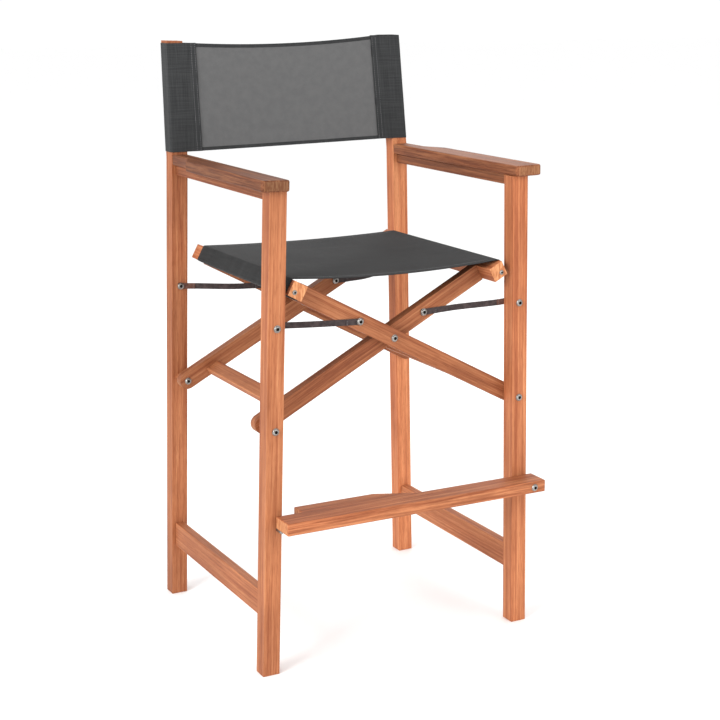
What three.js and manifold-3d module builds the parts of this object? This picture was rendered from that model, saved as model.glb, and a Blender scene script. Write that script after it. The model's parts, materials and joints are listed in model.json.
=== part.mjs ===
// A tall folding director's chair: two leaning side frames joined by a pair of scissor frames,
// a seat slung between two rails, a sling back on the back posts and a swing-up footrest.
// Millimetres. X runs across the seat, Y from front to back, Z up, and the floor is Z = 0.
// Left is the -X side, as seen from the front.

import * as THREE from 'three';
import { mergeVertices } from 'three/addons/utils/BufferGeometryUtils.js';
import Module from 'manifold-3d';

const wasm = await Module();
wasm.setup();

// ---------------------------------------------------------------- driving dimensions

const LEFT = -1;
const RIGHT = 1;
const GAP = 0.3; // between pieces that touch

const FRAME_WIDTH = 566; // over the posts, at LEAN_HEIGHT
const FRAME_DEPTH = 500; // over the posts
const LEAN = THREE.MathUtils.degToRad(1.5); // each side frame leans in towards its top
const LEAN_HEIGHT = 600;
const BACK_HEIGHT = 1170;

const POST_WIDTH = 34;
const POST_DEPTH = 31;
const RAKE = THREE.MathUtils.degToRad(7); // the back posts bend back above the arms
const RAKE_HEIGHT = 935;

const ARM_UNDERSIDE = 924;
const ARM_THICKNESS = 21;
const ARM_OVERHANG = 22; // outwards, past the posts
const ARM_NOSE = 15; // forwards, past the front post
const ARM_CORNER = 8;
const ARM_FLARE = [90, 140]; // the outer edge widens between these two places

const APRON_THICKNESS = 18;
const APRON_HEIGHT = 20;
const SIDE_RAIL_THICKNESS = 20;
const SIDE_RAIL_HEIGHT = 50;
const SIDE_RAIL_UNDERSIDE = 110;

const BOLT_INSET = 18.3; // bolt lines, in from the posts' outer faces
const PIVOT_HEIGHT = 481;
const STRAP_HEIGHT = 674;
const STRAP_REACH = 389; // from a bar's lower pivot to its strap screw

const BAR_ANGLE = THREE.MathUtils.degToRad(28);
const BAR_WIDTH = 34;
const BAR_THICKNESS = 20;
const BAR_WASHER = 1.5; // between a post and the outer bar, and between two crossing bars
const RAIL_REACH = 549; // from a bar's lower pivot to the middle of its seat rail
const RAIL_WIDTH = 31;
const RAIL_HEIGHT = 30;
const RAIL_FRONT = -243;
const RAIL_BACK = 216; // in front of the back sleeves, which the rails rise past as the chair folds
const RAIL_SCREW_SIZE = 0.65; // beside the bolts
const RAIL_SCREW_LENGTH = 18;
const RAIL_SCREW_OFFSET = 5; // outwards and down, from the middle of a rail's end
const STRETCHER_REACH = 62;
const STRETCHER_WIDTH = 30;
const STRETCHER_THICKNESS = 14;
const STRETCHER_DROP = 6;

const BOLT_RADIUS = 3;
const HEAD_RADIUS = 6.5;
const HEAD_HEIGHT = 3.2;
const HEAD_CHAMFER = 1.1;
const SOCKET_RADIUS = 2.7;
const SOCKET_DEPTH = 2;
const NUT_HEIGHT = 3.4;
const SPACER_RADIUS = 9;
const ROUND_STEPS = 20;

const STRAP_WIDTH = 12;
const STRAP_THICKNESS = 1.6;
const STRAP_TAIL = 12; // past each bolt
const STRAP_POST_FLAT = 20; // lies flat on the post this far from its bolt
const STRAP_BAR_FLAT = 62; // lies flat on the bar this far from its screw
const STRAP_SCREW_LENGTH = 24; // of the screws into the back posts

const CLOTH = 2;
const SEAT_FRONT = -234;
const SEAT_LENGTH = 416;
const SEAT_SAG = 12;
const SLEEVE_BOTTOM = 953;
const SLEEVE_TOP = 1167;
const SLEEVE_SEAM = 68; // from the posts' outer faces to the edge of the mesh panel
const PANEL_THICKNESS = 1.2;

const FOOTREST_TOP = 320;
const FOOTREST_THICKNESS = 24;
const FOOTREST_DEPTH = 51;
const FOOTREST_STANDOFF = 7; // from the front posts
const FOOTREST_LEFT = -272;
const FOOTREST_RIGHT = 298;
const TREAD_DEPTH = 34; // the wide part, behind the plank
const TREAD_LEFT = -219;
const TREAD_RIGHT = -49;
const TREAD_TAPER = 79;
const PEG_RADIUS = 4;
const PEG_LENGTH = 36; // half of it is inside the post
const PEG_INSET = 26; // from the post's outer face, so that the plank's end covers the peg

// ---------------------------------------------------------------- places worked out from them

const HALF_WIDTH = FRAME_WIDTH / 2;
const POST_FRONT = -FRAME_DEPTH / 2;
const POST_FRONT_INNER = POST_FRONT + POST_DEPTH;
const POST_BACK_INNER = -POST_FRONT_INNER;
const BOLT_X = HALF_WIDTH - BOLT_INSET;
const PEG_X = HALF_WIDTH - PEG_INSET;
const OUTER_BAR = FRAME_DEPTH / 2 - POST_DEPTH - BAR_WASHER; // outer face of the outer bars
const INNER_BAR = OUTER_BAR - BAR_THICKNESS - BAR_WASHER; // outer face of the inner bars
const FOOTREST_BACK = POST_FRONT - FOOTREST_STANDOFF;
const FOOTREST_FRONT = FOOTREST_BACK - FOOTREST_DEPTH;
const FOOTREST_PIVOT_HEIGHT = FOOTREST_TOP - FOOTREST_THICKNESS / 2;

const SEAT_YS = [SEAT_FRONT, SEAT_FRONT + SEAT_LENGTH];

const PIVOT = leaned(RIGHT, BOLT_X, PIVOT_HEIGHT);

// ---------------------------------------------------------------- materials

const oiledWood = () => new THREE.MeshStandardMaterial({ color: 0xb8693a, roughness: 0.6, metalness: 0 });
const endGrainWood = () => new THREE.MeshStandardMaterial({ color: 0xa85f36, roughness: 0.65, metalness: 0 });
const brightSteel = () => new THREE.MeshStandardMaterial({ color: 0xc9c6c2, roughness: 0.3, metalness: 1 });
const darkCloth = () => new THREE.MeshStandardMaterial({ color: 0x444546, roughness: 0.9, metalness: 0 });
const openMesh = () => new THREE.MeshStandardMaterial({ color: 0x6f7071, roughness: 0.85, metalness: 0 });
const brownWebbing = () => new THREE.MeshStandardMaterial({ color: 0x46393a, roughness: 0.9, metalness: 0 });

// ---------------------------------------------------------------- geometry helpers

// The place in the chair of a point in an upright side frame, once the frame leans.
function leaned(side, x, z) {
  const turn = -side * LEAN;
  const dx = x * side - side * HALF_WIDTH;
  const dz = z - LEAN_HEIGHT;
  return {
    x: side * HALF_WIDTH + dx * Math.cos(turn) + dz * Math.sin(turn),
    z: LEAN_HEIGHT - dx * Math.sin(turn) + dz * Math.cos(turn),
  };
}

// How far back the back posts stand at a height.
function rakeAt(z) {
  return Math.max(0, z - RAKE_HEIGHT) * Math.tan(RAKE);
}

// The geometry with its position alone, shared vertices merged and empty triangles left out.
function merged(geometry) {
  const bare = geometry.clone();
  bare.deleteAttribute('normal');
  bare.deleteAttribute('uv');
  const whole = mergeVertices(bare, 1e-3);
  const kept = [];
  for (let i = 0; i < whole.index.count; i += 3) {
    const corner = [whole.index.getX(i), whole.index.getX(i + 1), whole.index.getX(i + 2)];
    if (new Set(corner).size === 3) kept.push(...corner);
  }
  whole.setIndex(kept);
  return whole;
}

function toSolid(geometry) {
  const whole = merged(geometry);
  return new wasm.Manifold(new wasm.Mesh({
    numProp: 3,
    vertProperties: new Float32Array(whole.attributes.position.array),
    triVerts: new Uint32Array(whole.index.array),
  }));
}

function fromSolid(solid) {
  const { vertProperties, triVerts } = solid.getMesh();
  const geometry = new THREE.BufferGeometry();
  geometry.setAttribute('position', new THREE.BufferAttribute(new Float32Array(vertProperties), 3));
  geometry.setIndex([...triVerts]);
  return geometry;
}

function drilled(geometry, holes) {
  return fromSolid(holes.reduce((solid, hole) => solid.subtract(toSolid(hole)), toSolid(geometry)));
}

function joined(pieces) {
  return fromSolid(pieces.map(toSolid).reduce((solid, piece) => solid.add(piece)));
}

function block(xs, ys, zs) {
  const geometry = new THREE.BoxGeometry(xs[1] - xs[0], ys[1] - ys[0], zs[1] - zs[0]);
  return geometry.translate((xs[0] + xs[1]) / 2, (ys[0] + ys[1]) / 2, (zs[0] + zs[1]) / 2);
}

function extruded(shape, depth) {
  return new THREE.ExtrudeGeometry(shape, { depth, bevelEnabled: false, curveSegments: 6 });
}

// An outline drawn in (y, z), extruded along X between two places.
function alongX(points, xs) {
  const turn = new THREE.Matrix4().set(0, 0, 1, xs[0], 1, 0, 0, 0, 0, 1, 0, 0, 0, 0, 0, 1);
  return extruded(new THREE.Shape(points), xs[1] - xs[0]).applyMatrix4(turn);
}

// An outline drawn in (x, z), extruded along Y between two places.
function alongY(shape, ys) {
  const turn = new THREE.Matrix4().set(1, 0, 0, 0, 0, 0, -1, ys[1], 0, 1, 0, 0, 0, 0, 0, 1);
  return extruded(shape, ys[1] - ys[0]).applyMatrix4(turn);
}

// A hole along Y that a bolt passes through.
function boltHole(x, z, ys, radius = BOLT_RADIUS + GAP) {
  const geometry = new THREE.CylinderGeometry(radius, radius, ys[1] - ys[0], ROUND_STEPS);
  return geometry.translate(x, (ys[0] + ys[1]) / 2, z);
}

function point(x, y) {
  return new THREE.Vector2(x, y);
}

function makeMesh(name, geometry, material) {
  const mesh = new THREE.Mesh(geometry, material);
  mesh.name = name;
  return mesh;
}

// ---------------------------------------------------------------- fasteners, all along Y

// A socket-head bolt. Its head's underside is at y = 0, its head in front and its shank behind.
// The size is a share of the usual head and shank.
function bolt(name, length, size = 1) {
  const profile = [
    point(0, SOCKET_DEPTH - HEAD_HEIGHT),
    point(SOCKET_RADIUS, SOCKET_DEPTH - HEAD_HEIGHT),
    point(SOCKET_RADIUS, -HEAD_HEIGHT),
    point(HEAD_RADIUS - HEAD_CHAMFER, -HEAD_HEIGHT),
    point(HEAD_RADIUS, HEAD_CHAMFER - HEAD_HEIGHT),
    point(HEAD_RADIUS, 0),
    point(BOLT_RADIUS, 0),
    point(BOLT_RADIUS, length / size),
    point(0, length / size),
  ].map((place) => place.multiplyScalar(size));
  return makeMesh(name, merged(new THREE.LatheGeometry(profile, ROUND_STEPS)), brightSteel());
}

// A ring along Y from y = 0 to its height: a nut, a spacer or a washer.
function ring(name, inner, outer, height, material) {
  const profile = [
    point(inner, 0),
    point(outer, 0),
    point(outer, height),
    point(inner, height),
    point(inner, 0),
  ];
  return makeMesh(name, merged(new THREE.LatheGeometry(profile, ROUND_STEPS)), material);
}

function nut(name) {
  return ring(name, BOLT_RADIUS + GAP, HEAD_RADIUS, NUT_HEIGHT, brightSteel());
}

function put(parent, mesh, x, y, z) {
  mesh.position.set(x, y, z);
  parent.add(mesh);
}

// ---------------------------------------------------------------- side frames

// A group whose pieces are placed as in an upright chair, and which leans as a whole.
function leaningGroup(side) {
  const pivot = new THREE.Group();
  pivot.position.set(side * HALF_WIDTH, 0, LEAN_HEIGHT);
  pivot.rotation.y = -side * LEAN;
  const upright = new THREE.Group();
  upright.position.set(-side * HALF_WIDTH, 0, -LEAN_HEIGHT);
  pivot.add(upright);
  chair.add(pivot);
  return upright;
}

// The height in an upright frame that lies on the floor once the frame leans.
function footLevel(side, x) {
  const turn = -side * LEAN;
  return LEAN_HEIGHT + ((x - side * HALF_WIDTH) * Math.sin(turn) - LEAN_HEIGHT) / Math.cos(turn);
}

function between(side, inner, outer) {
  return [side * inner, side * outer].sort((a, b) => a - b);
}

function post(name, side, outline, holes) {
  const geometry = alongX(outline, between(side, HALF_WIDTH - POST_WIDTH, HALF_WIDTH));
  const places = geometry.attributes.position;
  for (let i = 0; i < places.count; i += 1) {
    if (places.getZ(i) === 0) places.setZ(i, footLevel(side, places.getX(i)));
  }
  return makeMesh(name, drilled(geometry, holes), oiledWood());
}

function frontPost(name, side) {
  const ys = [POST_FRONT, POST_FRONT_INNER];
  const top = ARM_UNDERSIDE - GAP;
  const outline = [point(ys[0], 0), point(ys[1], 0), point(ys[1], top), point(ys[0], top)];
  const drill = [ys[0] - 1, ys[1] + 1];
  const holes = [PIVOT_HEIGHT, STRAP_HEIGHT, FOOTREST_PIVOT_HEIGHT]
    .map((height) => boltHole(side * BOLT_X, height, drill));
  if (side === LEFT) {
    const pegHole = [ys[0] - 1, ys[0] + PEG_LENGTH / 2];
    holes.pop();
    holes.push(boltHole(side * PEG_X, footrestPegHeight(), pegHole, PEG_RADIUS + GAP));
  }
  return post(name, side, outline, holes);
}

function backPost(name, side) {
  const ys = [POST_BACK_INNER, FRAME_DEPTH / 2];
  const lean = rakeAt(BACK_HEIGHT);
  const outline = [
    point(ys[0], 0),
    point(ys[1], 0),
    point(ys[1], RAKE_HEIGHT),
    point(ys[1] + lean, BACK_HEIGHT),
    point(ys[0] + lean, BACK_HEIGHT),
    point(ys[0], RAKE_HEIGHT),
  ];
  const holes = [
    boltHole(side * BOLT_X, PIVOT_HEIGHT, [ys[0] - 1, ys[1] + 1]),
    boltHole(side * BOLT_X, STRAP_HEIGHT, [ys[0] - 1, ys[0] + STRAP_SCREW_LENGTH]),
  ];
  return post(name, side, outline, holes);
}

// The armrest: straight inside, narrow at the back post and wider in front of the flare.
function arm(name, side) {
  const inner = HALF_WIDTH - POST_WIDTH;
  const outer = HALF_WIDTH + ARM_OVERHANG;
  const front = POST_FRONT - ARM_NOSE;
  const back = POST_BACK_INNER - GAP;
  const outline = new THREE.Shape();
  outline.moveTo(side * inner, back);
  outline.lineTo(side * inner, front + ARM_CORNER);
  outline.quadraticCurveTo(side * inner, front, side * (inner + ARM_CORNER), front);
  outline.lineTo(side * (outer - ARM_CORNER), front);
  outline.quadraticCurveTo(side * outer, front, side * outer, front + ARM_CORNER);
  outline.lineTo(side * outer, ARM_FLARE[0]);
  outline.lineTo(side * HALF_WIDTH, ARM_FLARE[1]);
  outline.lineTo(side * HALF_WIDTH, back);
  outline.closePath();
  return makeMesh(name, extruded(outline, ARM_THICKNESS).translate(0, 0, ARM_UNDERSIDE), oiledWood());
}

// A board between the front and back post of a side frame, in the middle of their width.
function sideBoard(name, side, thickness, underside, height) {
  const middle = HALF_WIDTH - POST_WIDTH / 2;
  const xs = between(side, middle - thickness / 2, middle + thickness / 2);
  const ys = [POST_FRONT_INNER + GAP, POST_BACK_INNER - GAP];
  return makeMesh(name, block(xs, ys, [underside, underside + height]), oiledWood());
}

// The back cloth's sleeve over one back post, with a flat wing that the mesh panel is sewn to.
function backSleeve(name, side) {
  const ys = [POST_BACK_INNER - GAP, FRAME_DEPTH / 2 + GAP];
  const xs = between(side, HALF_WIDTH - POST_WIDTH - GAP, HALF_WIDTH + GAP);
  const outline = new THREE.Shape([
    point(xs[0] - CLOTH, ys[0] - CLOTH),
    point(xs[1] + CLOTH, ys[0] - CLOTH),
    point(xs[1] + CLOTH, ys[1] + CLOTH),
    point(xs[0] - CLOTH, ys[1] + CLOTH),
  ]);
  outline.holes.push(new THREE.Path([
    point(xs[0], ys[0]),
    point(xs[1], ys[0]),
    point(xs[1], ys[1]),
    point(xs[0], ys[1]),
  ]));
  const tube = extruded(outline, SLEEVE_TOP - SLEEVE_BOTTOM).translate(0, 0, SLEEVE_BOTTOM);
  const wing = block(
    between(side, HALF_WIDTH - SLEEVE_SEAM, HALF_WIDTH - POST_WIDTH),
    [ys[0] - CLOTH, ys[0]],
    [SLEEVE_BOTTOM, SLEEVE_TOP],
  );
  const geometry = joined([tube, wing]);
  return makeMesh(name, raked(geometry), darkCloth());
}

// Moves every vertex back by what the back posts' rake is at its height.
function raked(geometry) {
  const places = geometry.attributes.position;
  for (let i = 0; i < places.count; i += 1) {
    places.setY(i, places.getY(i) + rakeAt(places.getZ(i)));
  }
  return geometry;
}

// The height of the peg's middle, so that the plank's free end rests on top of it.
function footrestPegHeight() {
  return FOOTREST_TOP - FOOTREST_THICKNESS - GAP - PEG_RADIUS;
}

// The peg on the left front post that carries the plank's free end.
function footrestPeg() {
  const geometry = new THREE.CylinderGeometry(PEG_RADIUS, PEG_RADIUS, PEG_LENGTH, ROUND_STEPS);
  return makeMesh('footrest_peg', geometry, brightSteel());
}

function addSideFrame(side, word) {
  const frame = leaningGroup(side);
  frame.add(frontPost(`front_post_${word}`, side));
  frame.add(backPost(`back_post_${word}`, side));
  frame.add(arm(`arm_${word}`, side));
  const apronBottom = ARM_UNDERSIDE - GAP - APRON_HEIGHT;
  frame.add(sideBoard(`arm_apron_${word}`, side, APRON_THICKNESS, apronBottom, APRON_HEIGHT));
  frame.add(sideBoard(`side_rail_${word}`, side, SIDE_RAIL_THICKNESS, SIDE_RAIL_UNDERSIDE, SIDE_RAIL_HEIGHT));
  frame.add(backSleeve(`back_sleeve_${word}`, side));
  addPivotBolts(frame, side, word);
  addStrapBolts(frame, side, word);
  return frame;
}

// ---------------------------------------------------------------- bolts in the side frames

function addPivotBolts(frame, side, word) {
  const x = side * BOLT_X;
  const barFace = side === LEFT ? INNER_BAR : OUTER_BAR;
  const reach = barFace - BAR_THICKNESS; // the far face of the bar on this post
  const length = FRAME_DEPTH / 2 - reach + NUT_HEIGHT + GAP * 2;
  put(frame, bolt(`pivot_bolt_front_${word}`, length), x, POST_FRONT - GAP, PIVOT_HEIGHT);
  put(frame, nut(`pivot_nut_front_${word}`), x, GAP - reach, PIVOT_HEIGHT);
  put(frame, bolt(`pivot_bolt_back_${word}`, length), x, reach - GAP, PIVOT_HEIGHT);
  put(frame, nut(`pivot_nut_back_${word}`), x, FRAME_DEPTH / 2 + GAP, PIVOT_HEIGHT);
  if (side === LEFT) {
    put(frame, pivotSpacer('pivot_spacer_front'), x, POST_FRONT_INNER + GAP, PIVOT_HEIGHT);
    put(frame, pivotSpacer('pivot_spacer_back'), x, INNER_BAR + GAP, PIVOT_HEIGHT);
  }
}

// The wooden spacer that fills the outer bar's place between a left post and its inner bar.
function pivotSpacer(name) {
  const length = OUTER_BAR + BAR_WASHER - INNER_BAR - GAP * 2;
  return ring(name, BOLT_RADIUS + GAP, SPACER_RADIUS, length, endGrainWood());
}

function addStrapBolts(frame, side, word) {
  const x = side * BOLT_X;
  const through = POST_DEPTH + STRAP_THICKNESS + NUT_HEIGHT + GAP * 4;
  put(frame, bolt(`strap_bolt_front_${word}`, through), x, POST_FRONT - GAP, STRAP_HEIGHT);
  const nutY = POST_FRONT_INNER + STRAP_THICKNESS + GAP * 2;
  put(frame, nut(`strap_nut_front_${word}`), x, nutY, STRAP_HEIGHT);
  const headY = POST_BACK_INNER - STRAP_THICKNESS - GAP * 2;
  put(frame, bolt(`strap_bolt_back_${word}`, STRAP_SCREW_LENGTH), x, headY, STRAP_HEIGHT);
}

// ---------------------------------------------------------------- scissor frames

// A group at the lower pivot on one side. Its x runs up along the bars, and its z is square to them.
// On the right side the group is turned half round, so its y runs the other way.
function barGroup(side) {
  const group = new THREE.Group();
  group.position.set(side * PIVOT.x, 0, PIVOT.z);
  group.rotation.set(0, side * BAR_ANGLE, side === RIGHT ? Math.PI : 0);
  chair.add(group);
  return group;
}

// A bar with a round lower end, drilled for its pivots and its strap screw.
function crossBar(name, ys) {
  const end = RAIL_REACH - RAIL_WIDTH / 2 - GAP;
  const outline = new THREE.Shape();
  outline.moveTo(0, -BAR_WIDTH / 2);
  outline.lineTo(end, -BAR_WIDTH / 2);
  outline.lineTo(end, BAR_WIDTH / 2);
  outline.lineTo(0, BAR_WIDTH / 2);
  outline.absarc(0, 0, BAR_WIDTH / 2, Math.PI / 2, 1.5 * Math.PI, false);
  const middle = PIVOT.x / Math.cos(BAR_ANGLE);
  const drill = [ys[0] - 1, ys[1] + 1];
  const holes = [0, middle, STRAP_REACH].map((reach) => boltHole(reach, 0, drill));
  return makeMesh(name, drilled(alongY(outline, ys), holes), oiledWood());
}

function addCrossFrame(side, word, barFace) {
  const group = barGroup(side);
  const low = [-barFace, BAR_THICKNESS - barFace];
  const high = [barFace - BAR_THICKNESS, barFace];
  const [front, back] = side === LEFT ? [low, high] : [high, low];
  group.add(crossBar(`cross_bar_front_${word}`, front));
  group.add(crossBar(`cross_bar_back_${word}`, back));

  const railXs = [RAIL_REACH - RAIL_WIDTH / 2, RAIL_REACH + RAIL_WIDTH / 2];
  const railYs = side === LEFT ? [RAIL_FRONT, RAIL_BACK] : [-RAIL_BACK, -RAIL_FRONT];
  const rail = block(railXs, railYs, [-RAIL_HEIGHT / 2, RAIL_HEIGHT / 2]);
  const screwEnds = [
    [railYs[0] - 1, railYs[0] + RAIL_SCREW_LENGTH],
    [railYs[1] - RAIL_SCREW_LENGTH, railYs[1] + 1],
  ];
  const holeRadius = BOLT_RADIUS * RAIL_SCREW_SIZE + GAP;
  const railHoles = screwEnds
    .map((ys) => boltHole(RAIL_REACH + RAIL_SCREW_OFFSET, -RAIL_SCREW_OFFSET, ys, holeRadius));
  const drilledRail = drilled(rail, railHoles);
  group.add(makeMesh(`seat_rail_${side === RIGHT ? 'left' : 'right'}`, drilledRail, oiledWood()));

  const stretcher = block(
    [STRETCHER_REACH - STRETCHER_WIDTH / 2, STRETCHER_REACH + STRETCHER_WIDTH / 2],
    [BAR_THICKNESS - barFace + GAP, barFace - BAR_THICKNESS - GAP],
    [-STRETCHER_DROP - STRETCHER_THICKNESS / 2, STRETCHER_THICKNESS / 2 - STRETCHER_DROP],
  );
  group.add(makeMesh(`stretcher_${word}`, stretcher, oiledWood()));
}

// The place in the chair of a point on a bar's middle line.
function onBar(side, reach) {
  return {
    x: side * (PIVOT.x - reach * Math.cos(BAR_ANGLE)),
    z: PIVOT.z + reach * Math.sin(BAR_ANGLE),
  };
}

function addCentreBolts() {
  const centre = onBar(RIGHT, PIVOT.x / Math.cos(BAR_ANGLE));
  const reach = INNER_BAR - BAR_THICKNESS;
  const length = OUTER_BAR - reach + NUT_HEIGHT + GAP * 2;
  put(chair, bolt('centre_bolt_front', length), 0, -OUTER_BAR - GAP, centre.z);
  put(chair, nut('centre_nut_front'), 0, GAP - reach, centre.z);
  put(chair, bolt('centre_bolt_back', length), 0, reach - GAP, centre.z);
  put(chair, nut('centre_nut_back'), 0, OUTER_BAR + GAP, centre.z);
}

// The small screws in the two ends of the seat rail that the bars from one side carry.
function addRailScrews(side, railWord) {
  const middle = onBar(side, RAIL_REACH + RAIL_SCREW_OFFSET);
  const x = middle.x - side * RAIL_SCREW_OFFSET * Math.sin(BAR_ANGLE);
  const z = middle.z - RAIL_SCREW_OFFSET * Math.cos(BAR_ANGLE);
  const frontScrew = bolt(`rail_screw_front_${railWord}`, RAIL_SCREW_LENGTH, RAIL_SCREW_SIZE);
  put(chair, frontScrew, x, RAIL_FRONT - GAP, z);
  const backScrew = bolt(`rail_screw_back_${railWord}`, RAIL_SCREW_LENGTH, RAIL_SCREW_SIZE);
  backScrew.rotation.z = Math.PI;
  put(chair, backScrew, x, RAIL_BACK + GAP, z);
}

// ---------------------------------------------------------------- webbing straps

// A strap from a post's strap bolt to a bar's strap screw. y places are those of its middle line.
function addStrap(name, side, postY, barY) {
  const start = leaned(side, BOLT_X, STRAP_HEIGHT);
  const end = onBar(-side, STRAP_REACH);
  const length = Math.hypot(end.x - start.x, end.z - start.z);
  const half = STRAP_THICKNESS / 2;
  const outline = [
    point(-STRAP_TAIL, postY - half),
    point(STRAP_POST_FLAT, postY - half),
    point(length - STRAP_BAR_FLAT, barY - half),
    point(length + STRAP_TAIL, barY - half),
    point(length + STRAP_TAIL, barY + half),
    point(length - STRAP_BAR_FLAT, barY + half),
    point(STRAP_POST_FLAT, postY + half),
    point(-STRAP_TAIL, postY + half),
  ].map(({ x, y }) => point(-side * x, y));
  const strip = extruded(new THREE.Shape(outline), STRAP_WIDTH).translate(0, 0, -STRAP_WIDTH / 2);
  const ys = [Math.min(postY, barY) - STRAP_WIDTH, Math.max(postY, barY) + STRAP_WIDTH];
  const holes = [0, length].map((reach) => boltHole(-side * reach, 0, ys));
  const slope = Math.atan2(end.z - start.z, Math.abs(end.x - start.x));
  const geometry = drilled(strip, holes).rotateY(side * slope);
  put(chair, makeMesh(name, geometry, brownWebbing()), start.x, 0, start.z);
}

function addStrapScrew(name, side, barFaceY) {
  const place = onBar(side, STRAP_REACH);
  put(chair, bolt(name, BAR_THICKNESS - 2), place.x, barFaceY - STRAP_THICKNESS - GAP * 2, place.z);
}

function addStraps() {
  const behindPost = POST_FRONT_INNER + GAP + STRAP_THICKNESS / 2;
  const beforePost = POST_BACK_INNER - GAP - STRAP_THICKNESS / 2;
  const beforeBar = GAP + STRAP_THICKNESS / 2;
  const innerBack = INNER_BAR - BAR_THICKNESS;
  const outerBack = OUTER_BAR - BAR_THICKNESS;
  addStrap('strap_front_left', LEFT, behindPost, -OUTER_BAR - beforeBar);
  addStrap('strap_front_right', RIGHT, behindPost, -INNER_BAR - beforeBar);
  addStrap('strap_back_left', LEFT, beforePost, outerBack - beforeBar);
  addStrap('strap_back_right', RIGHT, beforePost, innerBack - beforeBar);
  addStrapScrew('strap_screw_front_left', RIGHT, -OUTER_BAR);
  addStrapScrew('strap_screw_front_right', LEFT, -INNER_BAR);
  addStrapScrew('strap_screw_back_left', RIGHT, outerBack);
  addStrapScrew('strap_screw_back_right', LEFT, innerBack);
}

// ---------------------------------------------------------------- cloth

// The cloth around a seat rail, drawn in the rail's own tilted frame: over its top, round its
// outer side and under its bottom, open on the inner side where the bars meet the rail.
function railWrap(side) {
  const inner = side * (RAIL_WIDTH / 2 - GAP);
  const outer = side * (RAIL_WIDTH / 2 + GAP);
  const beyond = side * (RAIL_WIDTH / 2 + GAP + CLOTH);
  const height = RAIL_HEIGHT / 2 + GAP;
  const outline = new THREE.Shape([
    point(-inner, height),
    point(outer, height),
    point(outer, -height),
    point(-inner, -height),
    point(-inner, -height - CLOTH),
    point(beyond, -height - CLOTH),
    point(beyond, height + CLOTH),
    point(-inner, height + CLOTH),
  ]);
  const place = onBar(-side, RAIL_REACH);
  return alongY(outline, SEAT_YS)
    .rotateY(-side * BAR_ANGLE)
    .translate(place.x, 0, place.z);
}

// The seat: a sagging panel between the two rails, and a sleeve around each.
function seatCloth() {
  const place = onBar(RIGHT, RAIL_REACH);
  const reach = RAIL_WIDTH / 2 + CLOTH / 2;
  const rise = RAIL_HEIGHT / 2 + CLOTH / 2;
  const edgeX = -place.x + reach * Math.cos(BAR_ANGLE) - rise * Math.sin(BAR_ANGLE);
  const edgeZ = place.z + reach * Math.sin(BAR_ANGLE) + rise * Math.cos(BAR_ANGLE) + CLOTH / 2;
  const panel = new THREE.Shape();
  panel.moveTo(-edgeX, edgeZ);
  panel.quadraticCurveTo(0, edgeZ - 2 * SEAT_SAG, edgeX, edgeZ);
  panel.lineTo(edgeX, edgeZ - CLOTH);
  panel.quadraticCurveTo(0, edgeZ - CLOTH - 2 * SEAT_SAG, -edgeX, edgeZ - CLOTH);
  panel.closePath();
  const sheet = alongY(panel, SEAT_YS);
  return makeMesh('seat_cloth', joined([sheet, railWrap(RIGHT), railWrap(LEFT)]), darkCloth());
}

// The see-through panel of the back, between the two sleeves' wings.
function backPanel() {
  const edge = HALF_WIDTH - SLEEVE_SEAM - GAP;
  const bottom = leaned(RIGHT, edge, SLEEVE_BOTTOM);
  const top = leaned(RIGHT, edge, SLEEVE_TOP);
  const outline = new THREE.Shape([
    point(-bottom.x, bottom.z),
    point(bottom.x, bottom.z),
    point(top.x, top.z),
    point(-top.x, top.z),
  ]);
  const y = POST_BACK_INNER - GAP - CLOTH / 2;
  const geometry = alongY(outline, [y - PANEL_THICKNESS / 2, y + PANEL_THICKNESS / 2]);
  return makeMesh('back_panel', raked(geometry), openMesh());
}

// ---------------------------------------------------------------- footrest

function footrestPlank() {
  const outline = new THREE.Shape([
    point(FOOTREST_LEFT, FOOTREST_FRONT),
    point(FOOTREST_RIGHT, FOOTREST_FRONT),
    point(FOOTREST_RIGHT, FOOTREST_BACK),
    point(TREAD_RIGHT + TREAD_TAPER, FOOTREST_BACK),
    point(TREAD_RIGHT, FOOTREST_BACK + TREAD_DEPTH),
    point(TREAD_LEFT, FOOTREST_BACK + TREAD_DEPTH),
    point(TREAD_LEFT, FOOTREST_BACK),
    point(FOOTREST_LEFT, FOOTREST_BACK),
  ]);
  const plank = extruded(outline, FOOTREST_THICKNESS)
    .translate(0, 0, FOOTREST_TOP - FOOTREST_THICKNESS);
  const place = leaned(RIGHT, BOLT_X, FOOTREST_PIVOT_HEIGHT);
  const hole = boltHole(place.x, place.z, [FOOTREST_FRONT - 1, FOOTREST_BACK + 1]);
  return makeMesh('footrest_plank', drilled(plank, [hole]), oiledWood());
}

function addFootrest(leftFrame, rightFrame) {
  chair.add(footrestPlank());
  const reach = POST_FRONT_INNER - FOOTREST_FRONT;
  const length = reach + NUT_HEIGHT + GAP * 2;
  const x = BOLT_X;
  const z = FOOTREST_PIVOT_HEIGHT;
  put(rightFrame, bolt('footrest_bolt', length), x, FOOTREST_FRONT - GAP, z);
  put(rightFrame, nut('footrest_nut'), x, POST_FRONT_INNER + GAP, z);
  const inner = BOLT_RADIUS + GAP;
  const washer = ring('footrest_spacer', inner, SPACER_RADIUS, FOOTREST_STANDOFF - GAP * 2, brightSteel());
  put(rightFrame, washer, x, FOOTREST_BACK + GAP, z);
  put(leftFrame, footrestPeg(), -PEG_X, POST_FRONT - GAP, footrestPegHeight());
}

// ---------------------------------------------------------------- the chair

// The origin is on the floor, half way between the chair's foremost and rearmost points.
const foremost = FOOTREST_FRONT - GAP - HEAD_HEIGHT;
const rearmost = FRAME_DEPTH / 2 + GAP + CLOTH + rakeAt(SLEEVE_TOP);

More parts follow.
